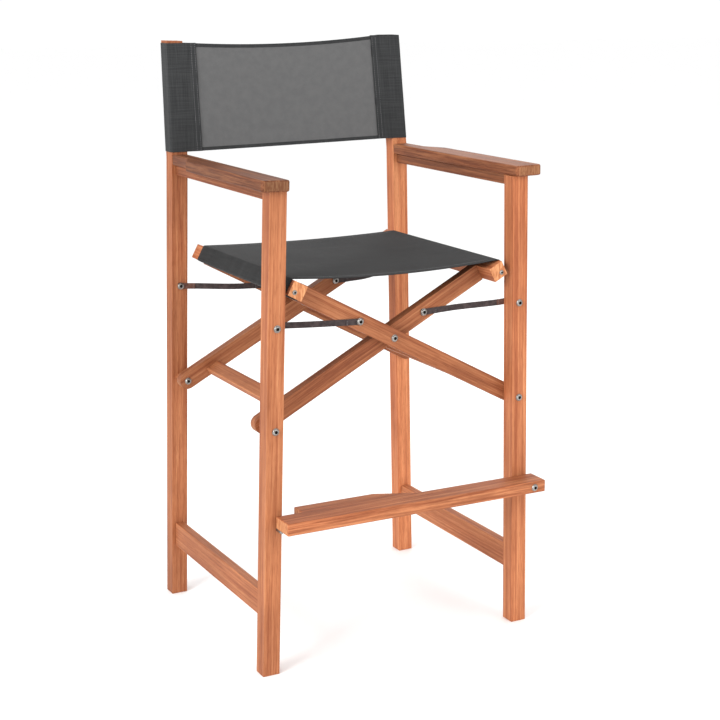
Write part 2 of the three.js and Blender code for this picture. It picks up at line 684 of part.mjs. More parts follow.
const chair = new THREE.Group();
chair.position.y = -(foremost + rearmost) / 2;
const leftFrame = addSideFrame(LEFT, 'left');
const rightFrame = addSideFrame(RIGHT, 'right');
addCrossFrame(LEFT, 'from_left', INNER_BAR);
addCrossFrame(RIGHT, 'from_right', OUTER_BAR);
addCentreBolts();
addRailScrews(LEFT, 'right');
addRailScrews(RIGHT, 'left');
addStraps();
chair.add(seatCloth());
chair.add(backPanel());
addFootrest(leftFrame, rightFrame);

export default chair;
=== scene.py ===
"""The looks of a tall folding director's chair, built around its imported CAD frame. Metres, Z up."""

import functools
import json
import math
import random

import bmesh
import bpy
from mathutils import Matrix, Vector


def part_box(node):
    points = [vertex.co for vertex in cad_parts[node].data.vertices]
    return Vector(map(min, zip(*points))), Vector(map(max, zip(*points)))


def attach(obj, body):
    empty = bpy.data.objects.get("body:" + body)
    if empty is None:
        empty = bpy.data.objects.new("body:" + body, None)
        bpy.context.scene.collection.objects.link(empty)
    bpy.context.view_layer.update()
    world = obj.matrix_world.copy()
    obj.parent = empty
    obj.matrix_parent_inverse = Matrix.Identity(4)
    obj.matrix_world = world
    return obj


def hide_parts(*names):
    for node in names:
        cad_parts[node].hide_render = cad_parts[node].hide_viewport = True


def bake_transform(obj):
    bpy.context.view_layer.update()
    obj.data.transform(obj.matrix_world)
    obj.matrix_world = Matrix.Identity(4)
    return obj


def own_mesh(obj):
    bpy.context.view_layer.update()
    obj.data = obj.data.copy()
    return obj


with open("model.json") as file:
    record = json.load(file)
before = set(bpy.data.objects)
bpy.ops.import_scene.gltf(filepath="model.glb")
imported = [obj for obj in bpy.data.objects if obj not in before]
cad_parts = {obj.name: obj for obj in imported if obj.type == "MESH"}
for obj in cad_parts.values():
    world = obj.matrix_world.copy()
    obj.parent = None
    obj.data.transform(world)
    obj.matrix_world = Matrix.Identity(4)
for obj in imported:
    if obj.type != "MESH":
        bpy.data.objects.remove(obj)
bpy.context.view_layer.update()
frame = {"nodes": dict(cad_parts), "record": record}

random.seed(11)

# ---------------------------------------------------------------- sizes

MM = 0.001
NEARLY_PARALLEL = 0.9  # a cosine above this is too close to parallel for a cross product

WOOD_EASE = 2.0 * MM  # rounding of a wooden edge
ARM_EASE = 3.5 * MM
EASE_STEPS = 3
EASED_AT_MOST = 1.5  # a face whose shortest edge is over this many easings isn't part of a rounded edge
END_SQUARENESS = 0.98  # a face this square to the grain shows end grain
END_SHARE = 0.93  # points this far along a board belong to its end

BOLT_SIDES = 48
BOLT_HEAD = 6.5 * MM  # the CAD radius of the usual bolt head, and the sizes of such a bolt
BOLT_RISE = 3.2 * MM
BOLT_SHANK = 3.0 * MM
SOCKET_ACROSS = 5.6 * MM  # across the flats of the hexagonal socket
SOCKET_DEPTH = 2.7 * MM
SOCKET_LIP = 0.25 * MM
SOCKET_RIM = 0.62  # the radius of the socket's rounded rim, as a share of the width across its flats
SOCKET_REACH = 0.6  # points nearer the axis and nearer the head's face than these shares get painted shade
SOCKET_BELOW = 1.1
THREAD_LENGTH = 11 * MM
THREAD_PITCH = 0.7 * MM
THREAD_ROOT = 0.9  # the radius between ridges, and at the chamfered tip, as shares of the shank's
THREAD_TIP = 0.72
NECK_LENGTH = 4 * MM
# The head from its socket to its rim: share of the head's radius, and depth.
BOLT_DOME = (
    (0.66, 0.10 * MM),
    (0.84, 0.60 * MM),
    (0.96, 1.50 * MM),
    (1.00, 2.35 * MM),
    (1.08, 2.50 * MM),
    (1.10, 2.70 * MM),
    (1.10, BOLT_RISE - 0.1 * MM),
    (1.08, BOLT_RISE),
)
NUT_BORE = 0.5  # these three are shares of the nut's outer radius
NUT_FLATS = 1.73
NUT_FACE = 0.9
NUT_CHAMFER = 0.5 * MM
SPACER_BORE = 0.37  # as a share of the outer radius
SPACER_EASE = 0.6 * MM
SPACER_TONE = 0.8
PEG_TIP = 0.6  # these two are shares of the peg's radius
PEG_SHOULDER = 0.88
PEG_TIP_LENGTH = 0.3 * MM
PEG_END_LENGTH = 1.2 * MM

CANVAS = 1.1 * MM  # thickness of one layer
RAIL_CORNER = 3.0 * MM
POST_CORNER = 2.5 * MM
CLOTH_CLEARANCE = 0.5 * MM
SEAT_SAG = 8 * MM
SEAT_FRONT_DIP = 2 * MM  # the free front edge hangs a little lower, and the back edge is tighter
SEAT_BACK_DIP = -3 * MM
SEAT_STEPS = 44
SEAT_ROWS = 84
SEAT_TUCK_SHARE = 0.08  # the cloth stops this share of the way from a rail's bottom to its outer corner
SEAT_SEAM_ROW = 3  # how many rows in from the front and back edges the seams run
SEAT_SEAM_END = 6 * MM
MESH_THICKNESS = 0.7 * MM
HEM_RISE = 0.7 * MM
HEM_ROWS = 3
PANEL_TUCK = 14 * MM  # the mesh panel's edge is sewn this far inside the sleeves
PANEL_BELLY = 6 * MM
PANEL_SAG = (1 * MM, 9 * MM)  # of its bottom and of its top edge
PANEL_ROWS = 60
PANEL_STEPS = 80

# From each post to its sleeve's edge, and how far the cloth has slipped up the post: bottom, top.
SLEEVE_WING = {"left": (32 * MM, 27 * MM), "right": (35 * MM, 35 * MM)}
SLEEVE_LIFT = {"left": (-2 * MM, -2 * MM), "right": (5.5 * MM, 8.5 * MM)}
SLEEVE_ROWS = 44
SLEEVE_SPACING = 7 * MM
SLEEVE_GAP = CANVAS * 2.6  # between the middles of a wing's two layers
SLEEVE_OVERLAP = 9 * MM
SLEEVE_SEAMS = (("edge", 3 * MM), ("inner", 11 * MM))
RIPPLE = 0.5 * MM
RIPPLE_TURN = 13
RIPPLE_PHASE = {"left": 2, "right": 0}
POST_BEND = (0.9, 1.0)  # the back posts' bend lies between these heights
BEND_BAND = 2 * MM
TOP_BAND = 4 * MM

WEBBING = 0.72 * MM
WEBBING_WIDTH = 12 * MM
WEBBING_FOLD = 38 * MM  # the doubled ends
WEBBING_LAYERS = 0.80 * MM  # from one layer's middle to the other's
WEBBING_SLACK = 1 * MM
STRAP_TRIM = 8.5 * MM  # the CAD strap's tails, less what the bolt heads hide
STRAP_END_BAND = 4 * MM
STRAP_STEPS = 56
STRAP_BEND_START = 0.08  # where its step from post to bar starts, and how much of its length that takes
STRAP_BEND_SHARE = 0.60

STITCH_LENGTH = 3.2 * MM
STITCH_GAP = 1.4 * MM
STITCH_RADIUS = 0.32 * MM
STITCH_SIDES = 6
STITCH_SHAPE = ((0.0, 0.35), (0.25, 1.0), (0.75, 1.0), (1.0, 0.35))  # place along it, share of radius
SEAT_THREAD_LIFT = 0.1 * MM
THREAD_LIFT = 0.15 * MM

# Smooth shading is broken at edges sharper than these, in degrees.
WOOD_SHARP = 30
TURNED_SHARP = 35
CLOTH_SHARP = 60
BEVEL_FROM = 35  # board edges sharper than this are eased

# ---------------------------------------------------------------- looks

# How often each pattern changes in a metre, along each axis. The first axis of a board is its grain.
BANDS = (1.3, 84, 84)
STREAKS = (4.5, 260, 260)
PORES = (42, 1500, 1500)
PATCHES = (5.5, 12, 12)
END_RINGS = (4, 60, 330)
BRUSHING = (900, 260, 900)
SEAT_CREASES = (4, 38, 1)
SLEEVE_CREASES = (75, 5, 1)
YARNS = (620, 12)  # across a yarn, and along it

# Distances between threads, and the darkest and the lightest colour of the yarns.
SEAT_WEAVE = 1.1 * MM
SLEEVE_WEAVE = 1.0 * MM
MESH_WEAVE = 1.5 * MM
WEBBING_RIB = 1.5 * MM
WEBBING_LANE = 2.0 * MM
SEAT_TONES = ((0.018, 0.0182, 0.0184), (0.030, 0.0303, 0.0306))
SLEEVE_TONES = ((0.028, 0.029, 0.030), (0.047, 0.048, 0.049))

# How light each board is beside the rest: partly the boards' own differing tone, partly painted light and
# shade for boards that stand more in the light or in shade.
WOOD_TONES_AND_SHADE = {
    "back_post_left": 0.80,
    "back_post_right": 1.24,
    "front_post_left": 0.88,
    "front_post_right": 1.08,
    "cross_bar_front_from_left": 0.68,
    "cross_bar_back_from_left": 0.64,
    "cross_bar_front_from_right": 0.74,
    "cross_bar_back_from_right": 0.66,
    "stretcher_from_left": 0.86,
    "stretcher_from_right": 0.80,
    "arm_left": 0.38,
    "arm_right": 0.57,
    "arm_apron_left": 0.66,
    "arm_apron_right": 0.60,
    "side_rail_left": 0.84,
    "footrest_plank": 0.98,
    "seat_rail_left": 1.02,
    "seat_rail_right": 1.04,
}

# How strongly dark streaks show in the boards.
USUAL_FIGURE = 0.12
WOOD_FIGURES = {
    "arm_left": 0.55,
    "arm_right": 0.50,
    "arm_apron_left": 0.40,
    "arm_apron_right": 0.50,
    "footrest_plank": 0.40,
    "cross_bar_front_from_left": 0.25,
    "cross_bar_front_from_right": 0.25,
}

FLOOR_HALF = 30.0
FLOOR_DROP = 0.5 * MM
FLOOR_SHADE = 0.97
WORLD_STRENGTH = 1.03
LIT_POINT = (0, 0, 0.6)
LIGHTS = (  # name, place, width of its square in metres, power in watts
    ("key", (-3.6, -1.4, 2.2), 1.8, 125),
    ("fill", (1.2, -3.4, 2.0), 2.2, 32),
    ("rim", (1.5, 2.8, 2.6), 1.8, 25),
)
CAMERA_PLACE = Vector((-1.4188, -2.7038, 1.2750))
CAMERA_TARGET = Vector((0.0420, 0.0154, 0.5287))
CAMERA_ROLL = math.radians(0.18)
CAMERA_LENS = 77.05
CAMERA_SENSOR = 36

# ---------------------------------------------------------------- names of the CAD nodes

SIDES = ("left", "right")
OUTWARD = {"left": -1, "right": 1}
ENDS = ("front", "back")
SLOTS = {row["node"]: row["material_slot"] for row in frame["record"]["subparts"]}
WOOD_NODES = sorted(n for n, s in SLOTS.items() if s == "wood")
STEEL_NODES = sorted(n for n, s in SLOTS.items() if s == "steel")
BODY_OF = {n: b for b, nodes in frame["record"]["behaviour"]["bodies"].items() for n in nodes}

# ---------------------------------------------------------------- node-tree helpers


class Tree:
    """A small helper that adds shader nodes and links them."""

    def __init__(self, name):
        self.material = bpy.data.materials.new(name)
        self.material.use_nodes = True
        self.nodes = self.material.node_tree.nodes
        self.links = self.material.node_tree.links
        self.shader = self.nodes["Principled BSDF"]

    def add(self, kind, inputs=None, **settings):
        node = self.nodes.new("ShaderNode" + kind)
        for key, value in settings.items():
            setattr(node, key, value)
        for key, value in (inputs or {}).items():
            self.feed(node.inputs[key], value)
        return node

    def feed(self, socket, value):
        if isinstance(value, bpy.types.NodeSocket):
            self.links.new(value, socket)
        else:
            socket.default_value = value

    def math(self, operation, *values):
        node = self.add("Math", operation=operation)
        for socket, value in zip(node.inputs, values):
            self.feed(socket, value)
        return node.outputs[0]

    def mix(self, factor, first, second, blend="MIX"):
        node = self.add("Mix", data_type="RGBA", blend_type=blend)
        self.feed(node.inputs[0], factor)
        self.feed(node.inputs[6], first)
        self.feed(node.inputs[7], second)
        return node.outputs[2]

    def attribute(self, name):
        return self.add("Attribute", attribute_name=name).outputs

    def noise(self, vector, scale, detail=3.0, rough=0.55, distort=0.0):
        sizes = {"Vector": vector, "Scale": scale, "Detail": detail}
        sizes.update({"Roughness": rough, "Distortion": distort})
        return self.add("TexNoise", sizes).outputs["Fac"]

    def stretched(self, vector, factors):
        node = self.add("VectorMath", operation="MULTIPLY")
        self.feed(node.inputs[0], vector)
        node.inputs[1].default_value = factors
        return node.outputs[0]

    def ramp(self, factor, stops):
        node = self.add("ValToRGB", {"Fac": factor})
        while len(node.color_ramp.elements) < len(stops):
            node.color_ramp.elements.new(0.5)
        for element, (place, colour) in zip(node.color_ramp.elements, stops):
            element.position = place
            element.color = (*colour, 1)
        return node.outputs["Color"]

    def bump(self, height, distance, strength=1.0, normal=None):
        node = self.add("Bump", {"Height": height, "Distance": distance, "Strength": strength})
        if normal is not None:
            self.links.new(normal, node.inputs["Normal"])
        return node.outputs["Normal"]


# ---------------------------------------------------------------- materials


def wood_material():
    """Oiled reddish hardwood. Its grain runs along the 'grain' attribute's x."""
    tree = Tree("oiled_hardwood")
    place = tree.attribute("grain")["Vector"]
    tone_and_shade = tree.attribute("tone_and_shade")["Fac"]
    bands = tree.noise(tree.stretched(place, BANDS), 1.0, 4.0, 0.6, 0.7)
    streaks = tree.noise(tree.stretched(place, STREAKS), 1.0, 3.0, 0.6, 0.3)
    pores = tree.noise(tree.stretched(place, PORES), 1.0, 2.0, 0.5)
    patches = tree.noise(tree.stretched(place, PATCHES), 1.0, 2.0)
    mixed = tree.math("ADD", tree.math("MULTIPLY", bands, 0.55), tree.math("MULTIPLY", streaks, 0.45))
    grain = tree.ramp(mixed, [
        (0.39, (0.322, 0.098, 0.039)),
        (0.47, (0.390, 0.133, 0.055)),
        (0.53, (0.440, 0.163, 0.070)),
        (0.62, (0.504, 0.208, 0.095)),
    ])
    dark_pores = tree.ramp(pores, [(0.38, (0.62, 0.54, 0.50)), (0.50, (1, 1, 1))])
    colour = tree.mix(0.6, grain, dark_pores, "MULTIPLY")
    uneven = tree.ramp(patches, [(0.38, (0.86, 0.80, 0.77)), (0.62, (1.08, 1.06, 1.04))])
    colour = tree.mix(0.85, colour, uneven, "MULTIPLY")
    figure = tree.attribute("figure")["Fac"]
    dark_streaks = tree.ramp(streaks, [(0.42, (0.40, 0.31, 0.29)), (0.58, (1.05, 1.02, 1.0))])
    colour = tree.mix(figure, colour, tree.mix(1.0, colour, dark_streaks, "MULTIPLY"))
    ends = tree.attribute("end_grain")["Fac"]
    rings = tree.noise(tree.stretched(place, END_RINGS), 1.0, 2.0, 0.5, 0.6)
    end_colour = tree.ramp(rings, [(0.38, (0.36, 0.125, 0.048)), (0.62, (0.56, 0.255, 0.115))])
    colour = tree.mix(tree.math("MULTIPLY", ends, 0.9), colour, end_colour)
    # Each board's lightness here is partly its own tone and partly painted light and shade.
    toned = tree.add("HueSaturation", {"Saturation": 1.0, "Value": tone_and_shade, "Color": colour})
    worn = tree.math("MULTIPLY", tree.attribute("edge")["Fac"], 0.7)
    rubbed = tree.mix(worn, toned.outputs[0], (1.30, 1.34, 1.36, 1), "MULTIPLY")
    tree.feed(tree.shader.inputs["Base Color"], rubbed)
    roughness = tree.math("ADD", 0.50, tree.math("MULTIPLY", streaks, 0.16))
    tree.feed(tree.shader.inputs["Roughness"], roughness)
    tree.shader.inputs["Specular IOR Level"].default_value = 0.2
    coarse = tree.bump(streaks, 0.12 * MM)
    tree.feed(tree.shader.inputs["Normal"], tree.bump(pores, 0.10 * MM, 1.0, coarse))
    return tree.material


def steel_material():
    """Bright plated steel, faintly brushed, with painted shade down in the sockets."""
    tree = Tree("plated_steel")
    place = tree.add("TexCoord").outputs["Object"]
    brushed = tree.noise(tree.stretched(place, BRUSHING), 1.0, 2.0)
    dull = tree.noise(place, 160, 3.0)
    bright = tree.ramp(dull, [(0.35, (0.22, 0.205, 0.19)), (0.65, (0.40, 0.39, 0.375))])
    # The sockets get a dark painted shade, standing for the shade down in the recess, and rougher metal
    # there.
    shaded_socket = tree.attribute("shaded_socket")["Fac"]
    painted_socket_shade = tree.ramp(dull, [(0.35, (0.020, 0.017, 0.014)), (0.65, (0.050, 0.042, 0.036))])
    tree.feed(tree.shader.inputs["Base Color"], tree.mix(shaded_socket, bright, painted_socket_shade))
    tree.shader.inputs["Metallic"].default_value = 1.0
    spread = tree.math("ADD", tree.math("MULTIPLY", brushed, 0.22), tree.math("MULTIPLY", shaded_socket, 0.45))
    tree.feed(tree.shader.inputs["Roughness"], tree.math("ADD", 0.20, spread))
    tree.feed(tree.shader.inputs["Normal"], tree.bump(brushed, 0.03 * MM))
    return tree.material


def weave(tree, place, pitch):
    """(height, thread seen) of a plain weave over the cloth coordinate, with threads pitch apart."""
    parts = tree.add("SeparateXYZ", {"Vector": place})
    turn = math.pi / pitch
    across = tree.math("SINE", tree.math("MULTIPLY", parts.outputs[0], turn))
    along = tree.math("SINE", tree.math("MULTIPLY", parts.outputs[1], turn))
    over = tree.math("MULTIPLY", across, along)
    ridge = tree.math("ADD", tree.math("ABSOLUTE", across), tree.math("ABSOLUTE", along))
    return tree.math("ADD", tree.math("MULTIPLY", over, 0.35), tree.math("MULTIPLY", ridge, 0.4)), over


def canvas_material(name, dark, light, pitch, creases):
    """Woven outdoor canvas with uneven yarns, faint fading, and creases stretched as given."""
    tree = Tree(name)
    place = tree.attribute("cloth")["Vector"]
    height, over = weave(tree, place, pitch)
    yarn_x = tree.noise(tree.stretched(place, (*YARNS, 1)), 1.0, 2.0)
    yarn_y = tree.noise(tree.stretched(place, (*reversed(YARNS), 1)), 1.0, 2.0)
    yarns = tree.math("MULTIPLY", tree.math("ADD", yarn_x, yarn_y), 0.5)
    fading = tree.noise(place, 7.0, 3.0)
    pulled = tree.noise(tree.stretched(place, creases), 1.0, 3.0)
    base = tree.ramp(yarns, [(0.38, dark), (0.62, light)])
    faded = tree.ramp(fading, [(0.35, (0.90, 0.90, 0.90)), (0.65, (1.08, 1.08, 1.08))])
    colour = tree.mix(1.0, base, faded, "MULTIPLY")
    rubbed = tree.ramp(pulled, [
        (0.36, (0.88, 0.88, 0.88)),
        (0.60, (1.0, 1.0, 1.0)),
        (0.70, (1.22, 1.22, 1.22)),
    ])
    colour = tree.mix(1.0, colour, rubbed, "MULTIPLY")
    shade = tree.ramp(tree.math("ADD", 0.5, tree.math("MULTIPLY", over, 0.5)),
                      [(0.0, (0.84, 0.84, 0.84)), (1.0, (1.12, 1.12, 1.12))])
    tree.feed(tree.shader.inputs["Base Color"], tree.mix(1.0, colour, shade, "MULTIPLY"))
    tree.shader.inputs["Roughness"].default_value = 0.86
    tree.shader.inputs["Sheen Weight"].default_value = 0.03
    tree.shader.inputs["Specular IOR Level"].default_value = 0.14
    creased = tree.bump(pulled, 0.9 * MM, 0.6)
    tree.feed(tree.shader.inputs["Normal"], tree.bump(height, 0.16 * MM, 1.0, creased))
    return tree.material


def mesh_material():
    """Open coated mesh: threads with holes between them, so that what is behind shows faintly."""
    tree = Tree("open_mesh")
    place = tree.attribute("cloth")["Vector"]
    height, over = weave(tree, place, MESH_WEAVE)
    uneven = tree.noise(place, 60.0, 3.0)
    base = tree.ramp(uneven, [(0.36, (0.088, 0.088, 0.089)), (0.64, (0.100, 0.0995, 0.0995))])
    shade = tree.ramp(tree.math("ADD", 0.5, tree.math("MULTIPLY", over, 0.5)),
                      [(0.0, (0.82, 0.82, 0.82)), (1.0, (1.16, 1.16, 1.16))])
    tree.feed(tree.shader.inputs["Base Color"], tree.mix(1.0, base, shade, "MULTIPLY"))
    tree.feed(tree.shader.inputs["Alpha"], tree.math("MINIMUM", 1.0, tree.math("ADD", 0.80, height)))
    tree.shader.inputs["Roughness"].default_value = 0.62
    tree.feed(tree.shader.inputs["Normal"], tree.bump(height, 0.25 * MM))
    return tree.material


def webbing_material():
    """Narrow near-black webbing with a ribbed weave, browned where it is folded back at the post."""
    tree = Tree("dark_webbing")
    place = tree.attribute("cloth")["Vector"]
    parts = tree.add("SeparateXYZ", {"Vector": place})
    ribs = tree.math("SINE", tree.math("MULTIPLY", parts.outputs[0], 2 * math.pi / WEBBING_RIB))
    lanes = tree.math("SINE", tree.math("MULTIPLY", parts.outputs[1], 2 * math.pi / WEBBING_LANE))
    height = tree.math("ADD", tree.math("MULTIPLY", ribs, 0.3), tree.math("MULTIPLY", lanes, 0.25))
    uneven = tree.noise(place, 90.0, 3.0)
    colour = tree.ramp(uneven, [(0.38, (0.033, 0.025, 0.025)), (0.62, (0.064, 0.047, 0.046))])
    brown = tree.ramp(uneven, [(0.38, (0.085, 0.038, 0.028)), (0.62, (0.150, 0.072, 0.054))])
    folded = tree.attribute("folded")["Fac"]
    tree.feed(tree.shader.inputs["Base Color"], tree.mix(folded, colour, brown))
    tree.shader.inputs["Roughness"].default_value = 0.8
    tree.shader.inputs["Sheen Weight"].default_value = 0.05
    tree.shader.inputs["Specular IOR Level"].default_value = 0.2
    tree.feed(tree.shader.inputs["Normal"], tree.bump(height, 0.2 * MM))
    return tree.material


def thread_material():
    """Polyester sewing thread."""
    tree = Tree("sewing_thread")
    place = tree.add("TexCoord").outputs["Object"]
    twist = tree.noise(place, 2200, 1.0)
    colour = tree.ramp(twist, [(0.4, (0.11, 0.11, 0.115)), (0.6, (0.21, 0.21, 0.215))])
    tree.feed(tree.shader.inputs["Base Color"], colour)
    tree.shader.inputs["Roughness"].default_value = 0.6
    return tree.material


WOOD = wood_material()
STEEL = steel_material()
SEAT_CANVAS = canvas_material("seat_canvas", *SEAT_TONES, SEAT_WEAVE, SEAT_CREASES)
SLEEVE_CANVAS = canvas_material("sleeve_canvas", *SLEEVE_TONES, SLEEVE_WEAVE, SLEEVE_CREASES)
MESH = mesh_material()
WEBBING_LOOK = webbing_material()
THREAD = thread_material()

# ---------------------------------------------------------------- mesh helpers


def link(name, mesh, material):
    piece = bpy.data.objects.new(name, mesh)
    bpy.context.scene.collection.objects.link(piece)
    mesh.materials.clear()
    mesh.materials.append(material)
    return piece


def smooth(mesh, angle):
    for face in mesh.polygons:
        face.use_smooth = True
    mesh.set_sharp_from_angle(angle=math.radians(angle))


def applied(piece):
    """Bakes the piece's modifiers into its mesh."""
    graph = bpy.context.evaluated_depsgraph_get()
    mesh = bpy.data.meshes.new_from_object(piece.evaluated_get(graph))
    piece.modifiers.clear()
    piece.data = mesh
    return piece


def float_attribute(mesh, name, values):
    layer = mesh.attributes.new(name, "FLOAT", "POINT")
    layer.data.foreach_set("value", values)


def even_attribute(mesh, name, value):
    float_attribute(mesh, name, [value] * len(mesh.vertices))


def vector_attribute(mesh, name, values):
    layer = mesh.attributes.new(name, "FLOAT_VECTOR", "POINT")
    layer.data.foreach_set("vector", [c for v in values for c in v])


def corners(node):
    return [v.co.copy() for v in frame["nodes"][node].data.vertices]


def mean_of(points):
    return sum(points, Vector()) / len(points)


def middle(node):
    low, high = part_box(node)
    return (low + high) / 2


# ---------------------------------------------------------------- wood


def longest_way(points):
    """A piece's mean point, and the direction from one of its ends to the other."""
    centre = mean_of(points)
    far = max(points, key=lambda p: (p - centre).length)
    way = (far - centre).normalized()
    reach = max((p - centre).dot(way) for p in points)
    near_end = [p for p in points if (p - centre).dot(way) > END_SHARE * reach]
    far_end = [p for p in points if (p - centre).dot(way) < -END_SHARE * reach]
    last = mean_of(far_end) if far_end else centre
    return centre, (mean_of(near_end) - last).normalized()


def ease_edges(mesh, ease):
    """Joins the mesh's flat faces, and rounds its sharp edges."""
    made = bmesh.new()
    made.from_mesh(mesh)
    bmesh.ops.remove_doubles(made, verts=made.verts, dist=1e-5)
    flat = {"use_dissolve_boundaries": False, "delimit": set()}
    bmesh.ops.dissolve_limit(made, angle_limit=math.radians(1), verts=made.verts, edges=made.edges, **flat)
    limit = math.radians(BEVEL_FROM)
    sharp = [e for e in made.edges if e.is_manifold and e.calc_face_angle(0) > limit]
    sizes = {"offset": ease, "segments": EASE_STEPS, "profile": 0.5, "affect": "EDGES"}
    bmesh.ops.bevel(made, geom=sharp, clamp_overlap=True, **sizes)
    made.normal_update()
    made.to_mesh(mesh)
    made.free()


def lay_grain(mesh):
    """Gives the mesh its grain coordinate, from a random start, and marks its end grain."""
    centre, way = longest_way([v.co.copy() for v in mesh.vertices])
    other = Vector((0, 1, 0)) if abs(way.y) < NEARLY_PARALLEL else Vector((1, 0, 0))
    side = way.cross(other).normalized()
    third = way.cross(side)
    shift = Vector((random.uniform(0, 9), random.uniform(0, 9), random.uniform(0, 9)))
    places = []
    for vertex in mesh.vertices:
        out = vertex.co - centre
        places.append(Vector((out.dot(way), out.dot(side), out.dot(third))) + shift)
    vector_attribute(mesh, "grain", places)
    cut = [0.0] * len(mesh.vertices)
    for face in mesh.polygons:
        if abs(face.normal.dot(way)) > END_SQUARENESS:
            for v in face.vertices:
                cut[v] = 1.0
    float_attribute(mesh, "end_grain", cut)


def mark_worn_edges(mesh, ease):
    """Marks the points inside the eased edges, which are rubbed lighter."""
    worn = [1.0] * len(mesh.vertices)
    for face in mesh.polygons:
        if shortest_edge(mesh, face) > ease * EASED_AT_MOST:
            for v in face.vertices:
                worn[v] = 0.0
    float_attribute(mesh, "edge", worn)


def eased_wood(node, ease):
    """The CAD board with its edges eased, and with the grain along it."""
    mesh = frame["nodes"][node].data.copy()
    ease_edges(mesh, ease)
    lay_grain(mesh)
    mark_worn_edges(mesh, ease)
    even_attribute(mesh, "tone_and_shade", WOOD_TONES_AND_SHADE.get(node, 1.0))
    even_attribute(mesh, "figure", WOOD_FIGURES.get(node, USUAL_FIGURE))
    smooth(mesh, WOOD_SHARP)
    piece = link(node + "_wood", mesh, WOOD)
    add_weighted_normals(piece)
    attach(piece, BODY_OF[node])
    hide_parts(node)
    return piece


def shortest_edge(mesh, face):
    points = [mesh.vertices[v].co for v in face.vertices]
    return min((a - b).length for a, b in zip(points, points[1:] + points[:1]))


def add_weighted_normals(piece):
    modifier = piece.modifiers.new("weighted", "WEIGHTED_NORMAL")
    modifier.keep_sharp = True


def make_wood():
    for node in WOOD_NODES:
        if node.startswith("pivot_spacer"):
            continue
        eased_wood(node, ARM_EASE if node in ("arm_left", "arm_right") else WOOD_EASE)


# ---------------------------------------------------------------- fasteners


def lathe(name, rings, material, capped=True):
    """A turned piece along Y. A ring is (radius at an angle, y). Uncapped ends are joined to each other."""
    made = bmesh.new()
    loops = []
    for radius, y in rings:
        loop = []
        for step in range(BOLT_SIDES):
            angle = 2 * math.pi * step / BOLT_SIDES
            r = radius(angle)
            loop.append(made.verts.new((r * math.cos(angle), y, r * math.sin(angle))))
        loops.append(loop)
    for first, second in zip(loops, loops[1:]):
        join_loops(made, first, second)
    if capped:
        made.faces.new(loops[0])
        made.faces.new(list(reversed(loops[-1])))
    else:
        join_loops(made, loops[-1], loops[0])
    bmesh.ops.recalc_face_normals(made, faces=made.faces)
    mesh = bpy.data.meshes.new(name)
    made.to_mesh(mesh)
    made.free()
    smooth(mesh, TURNED_SHARP)
    return link(name, mesh, material)


def join_loops(made, first, second):
    for step in range(BOLT_SIDES):
        after = (step + 1) % BOLT_SIDES
        made.faces.new((first[step], first[after], second[after], second[step]))


def round_of(radius):
    return lambda angle: radius


def hexagon_of(across):
    """The radius of a hexagon, across its flats, at an angle."""
    sixth = math.pi / 3
    return lambda angle: across / 2 / math.cos((angle + sixth / 2) % sixth - sixth / 2)


def placed(piece, node, y):
    """Moves a turned piece to its node's axis, starting at y, and makes it stand for the node."""
    centre = middle(node)
    piece.data.transform(Matrix.Translation((centre.x, y, centre.z)))
    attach(piece, BODY_OF[node])
    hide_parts(node)
    return piece


def make_bolt(node):
    """A button-head bolt with a thin flange and a hexagonal socket. Its size follows its CAD head."""
    low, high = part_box(node)
    size = (high.x - low.x) / 2 / BOLT_HEAD
    socket = [
        (hexagon_of(SOCKET_ACROSS), SOCKET_DEPTH),
        (hexagon_of(SOCKET_ACROSS), SOCKET_LIP),
        (round_of(SOCKET_ACROSS * SOCKET_RIM), 0.0),
    ]
    dome = [(round_of(BOLT_HEAD * share), depth) for share, depth in BOLT_DOME]
    shank = [(round_of(BOLT_SHANK), BOLT_RISE), *thread_rings((high.y - low.y) / size)]
    piece = lathe(node + "_steel", socket + dome + shank, STEEL)
    # Points inside the socket are marked for the painted shade.
    float_attribute(piece.data, "shaded_socket", [1.0 if in_socket(v.co) else 0.0 for v in piece.data.vertices])
    piece.data.transform(Matrix.Scale(size, 4))
    faces_back = node.startswith("rail_screw_back")
    if faces_back:
        piece.data.transform(Matrix.Rotation(math.pi, 4, "Z"))
    return placed(piece, node, high.y if faces_back else low.y)


def in_socket(point):
    """Whether a point of an unscaled bolt is inside its socket."""
    across = math.hypot(point.x, point.z)
    return across < SOCKET_ACROSS * SOCKET_REACH and point.y < SOCKET_DEPTH * SOCKET_BELOW


def thread_rings(length):
    """Rings of a shank whose last stretch is ridged like a thread, with a chamfered end."""
    y = max(BOLT_RISE + NECK_LENGTH, length - THREAD_LENGTH)
    rings = [(round_of(BOLT_SHANK), y)]
    while y < length - THREAD_PITCH * 1.7:
        rings.append((round_of(BOLT_SHANK * THREAD_ROOT), y + THREAD_PITCH / 2))
        rings.append((round_of(BOLT_SHANK), y + THREAD_PITCH))
        y += THREAD_PITCH
    rings.append((round_of(BOLT_SHANK * THREAD_TIP), length))
    return rings


def make_nut(node):
    """A hexagonal nut with chamfered corners, open along its middle."""
    low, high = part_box(node)
    outer = (high.x - low.x) / 2
    bore = outer * NUT_BORE
    height = high.y - low.y
    flats = hexagon_of(outer * NUT_FLATS)

    def narrow(angle):
        return min(flats(angle), outer * NUT_FACE)

    rings = [
        (round_of(bore), 0.0),
        (narrow, 0.0),
        (flats, NUT_CHAMFER),
        (flats, height - NUT_CHAMFER),
        (narrow, height),
        (round_of(bore), height),
    ]
    piece = lathe(node + "_steel", rings, STEEL, capped=False)
    return placed(piece, node, low.y)


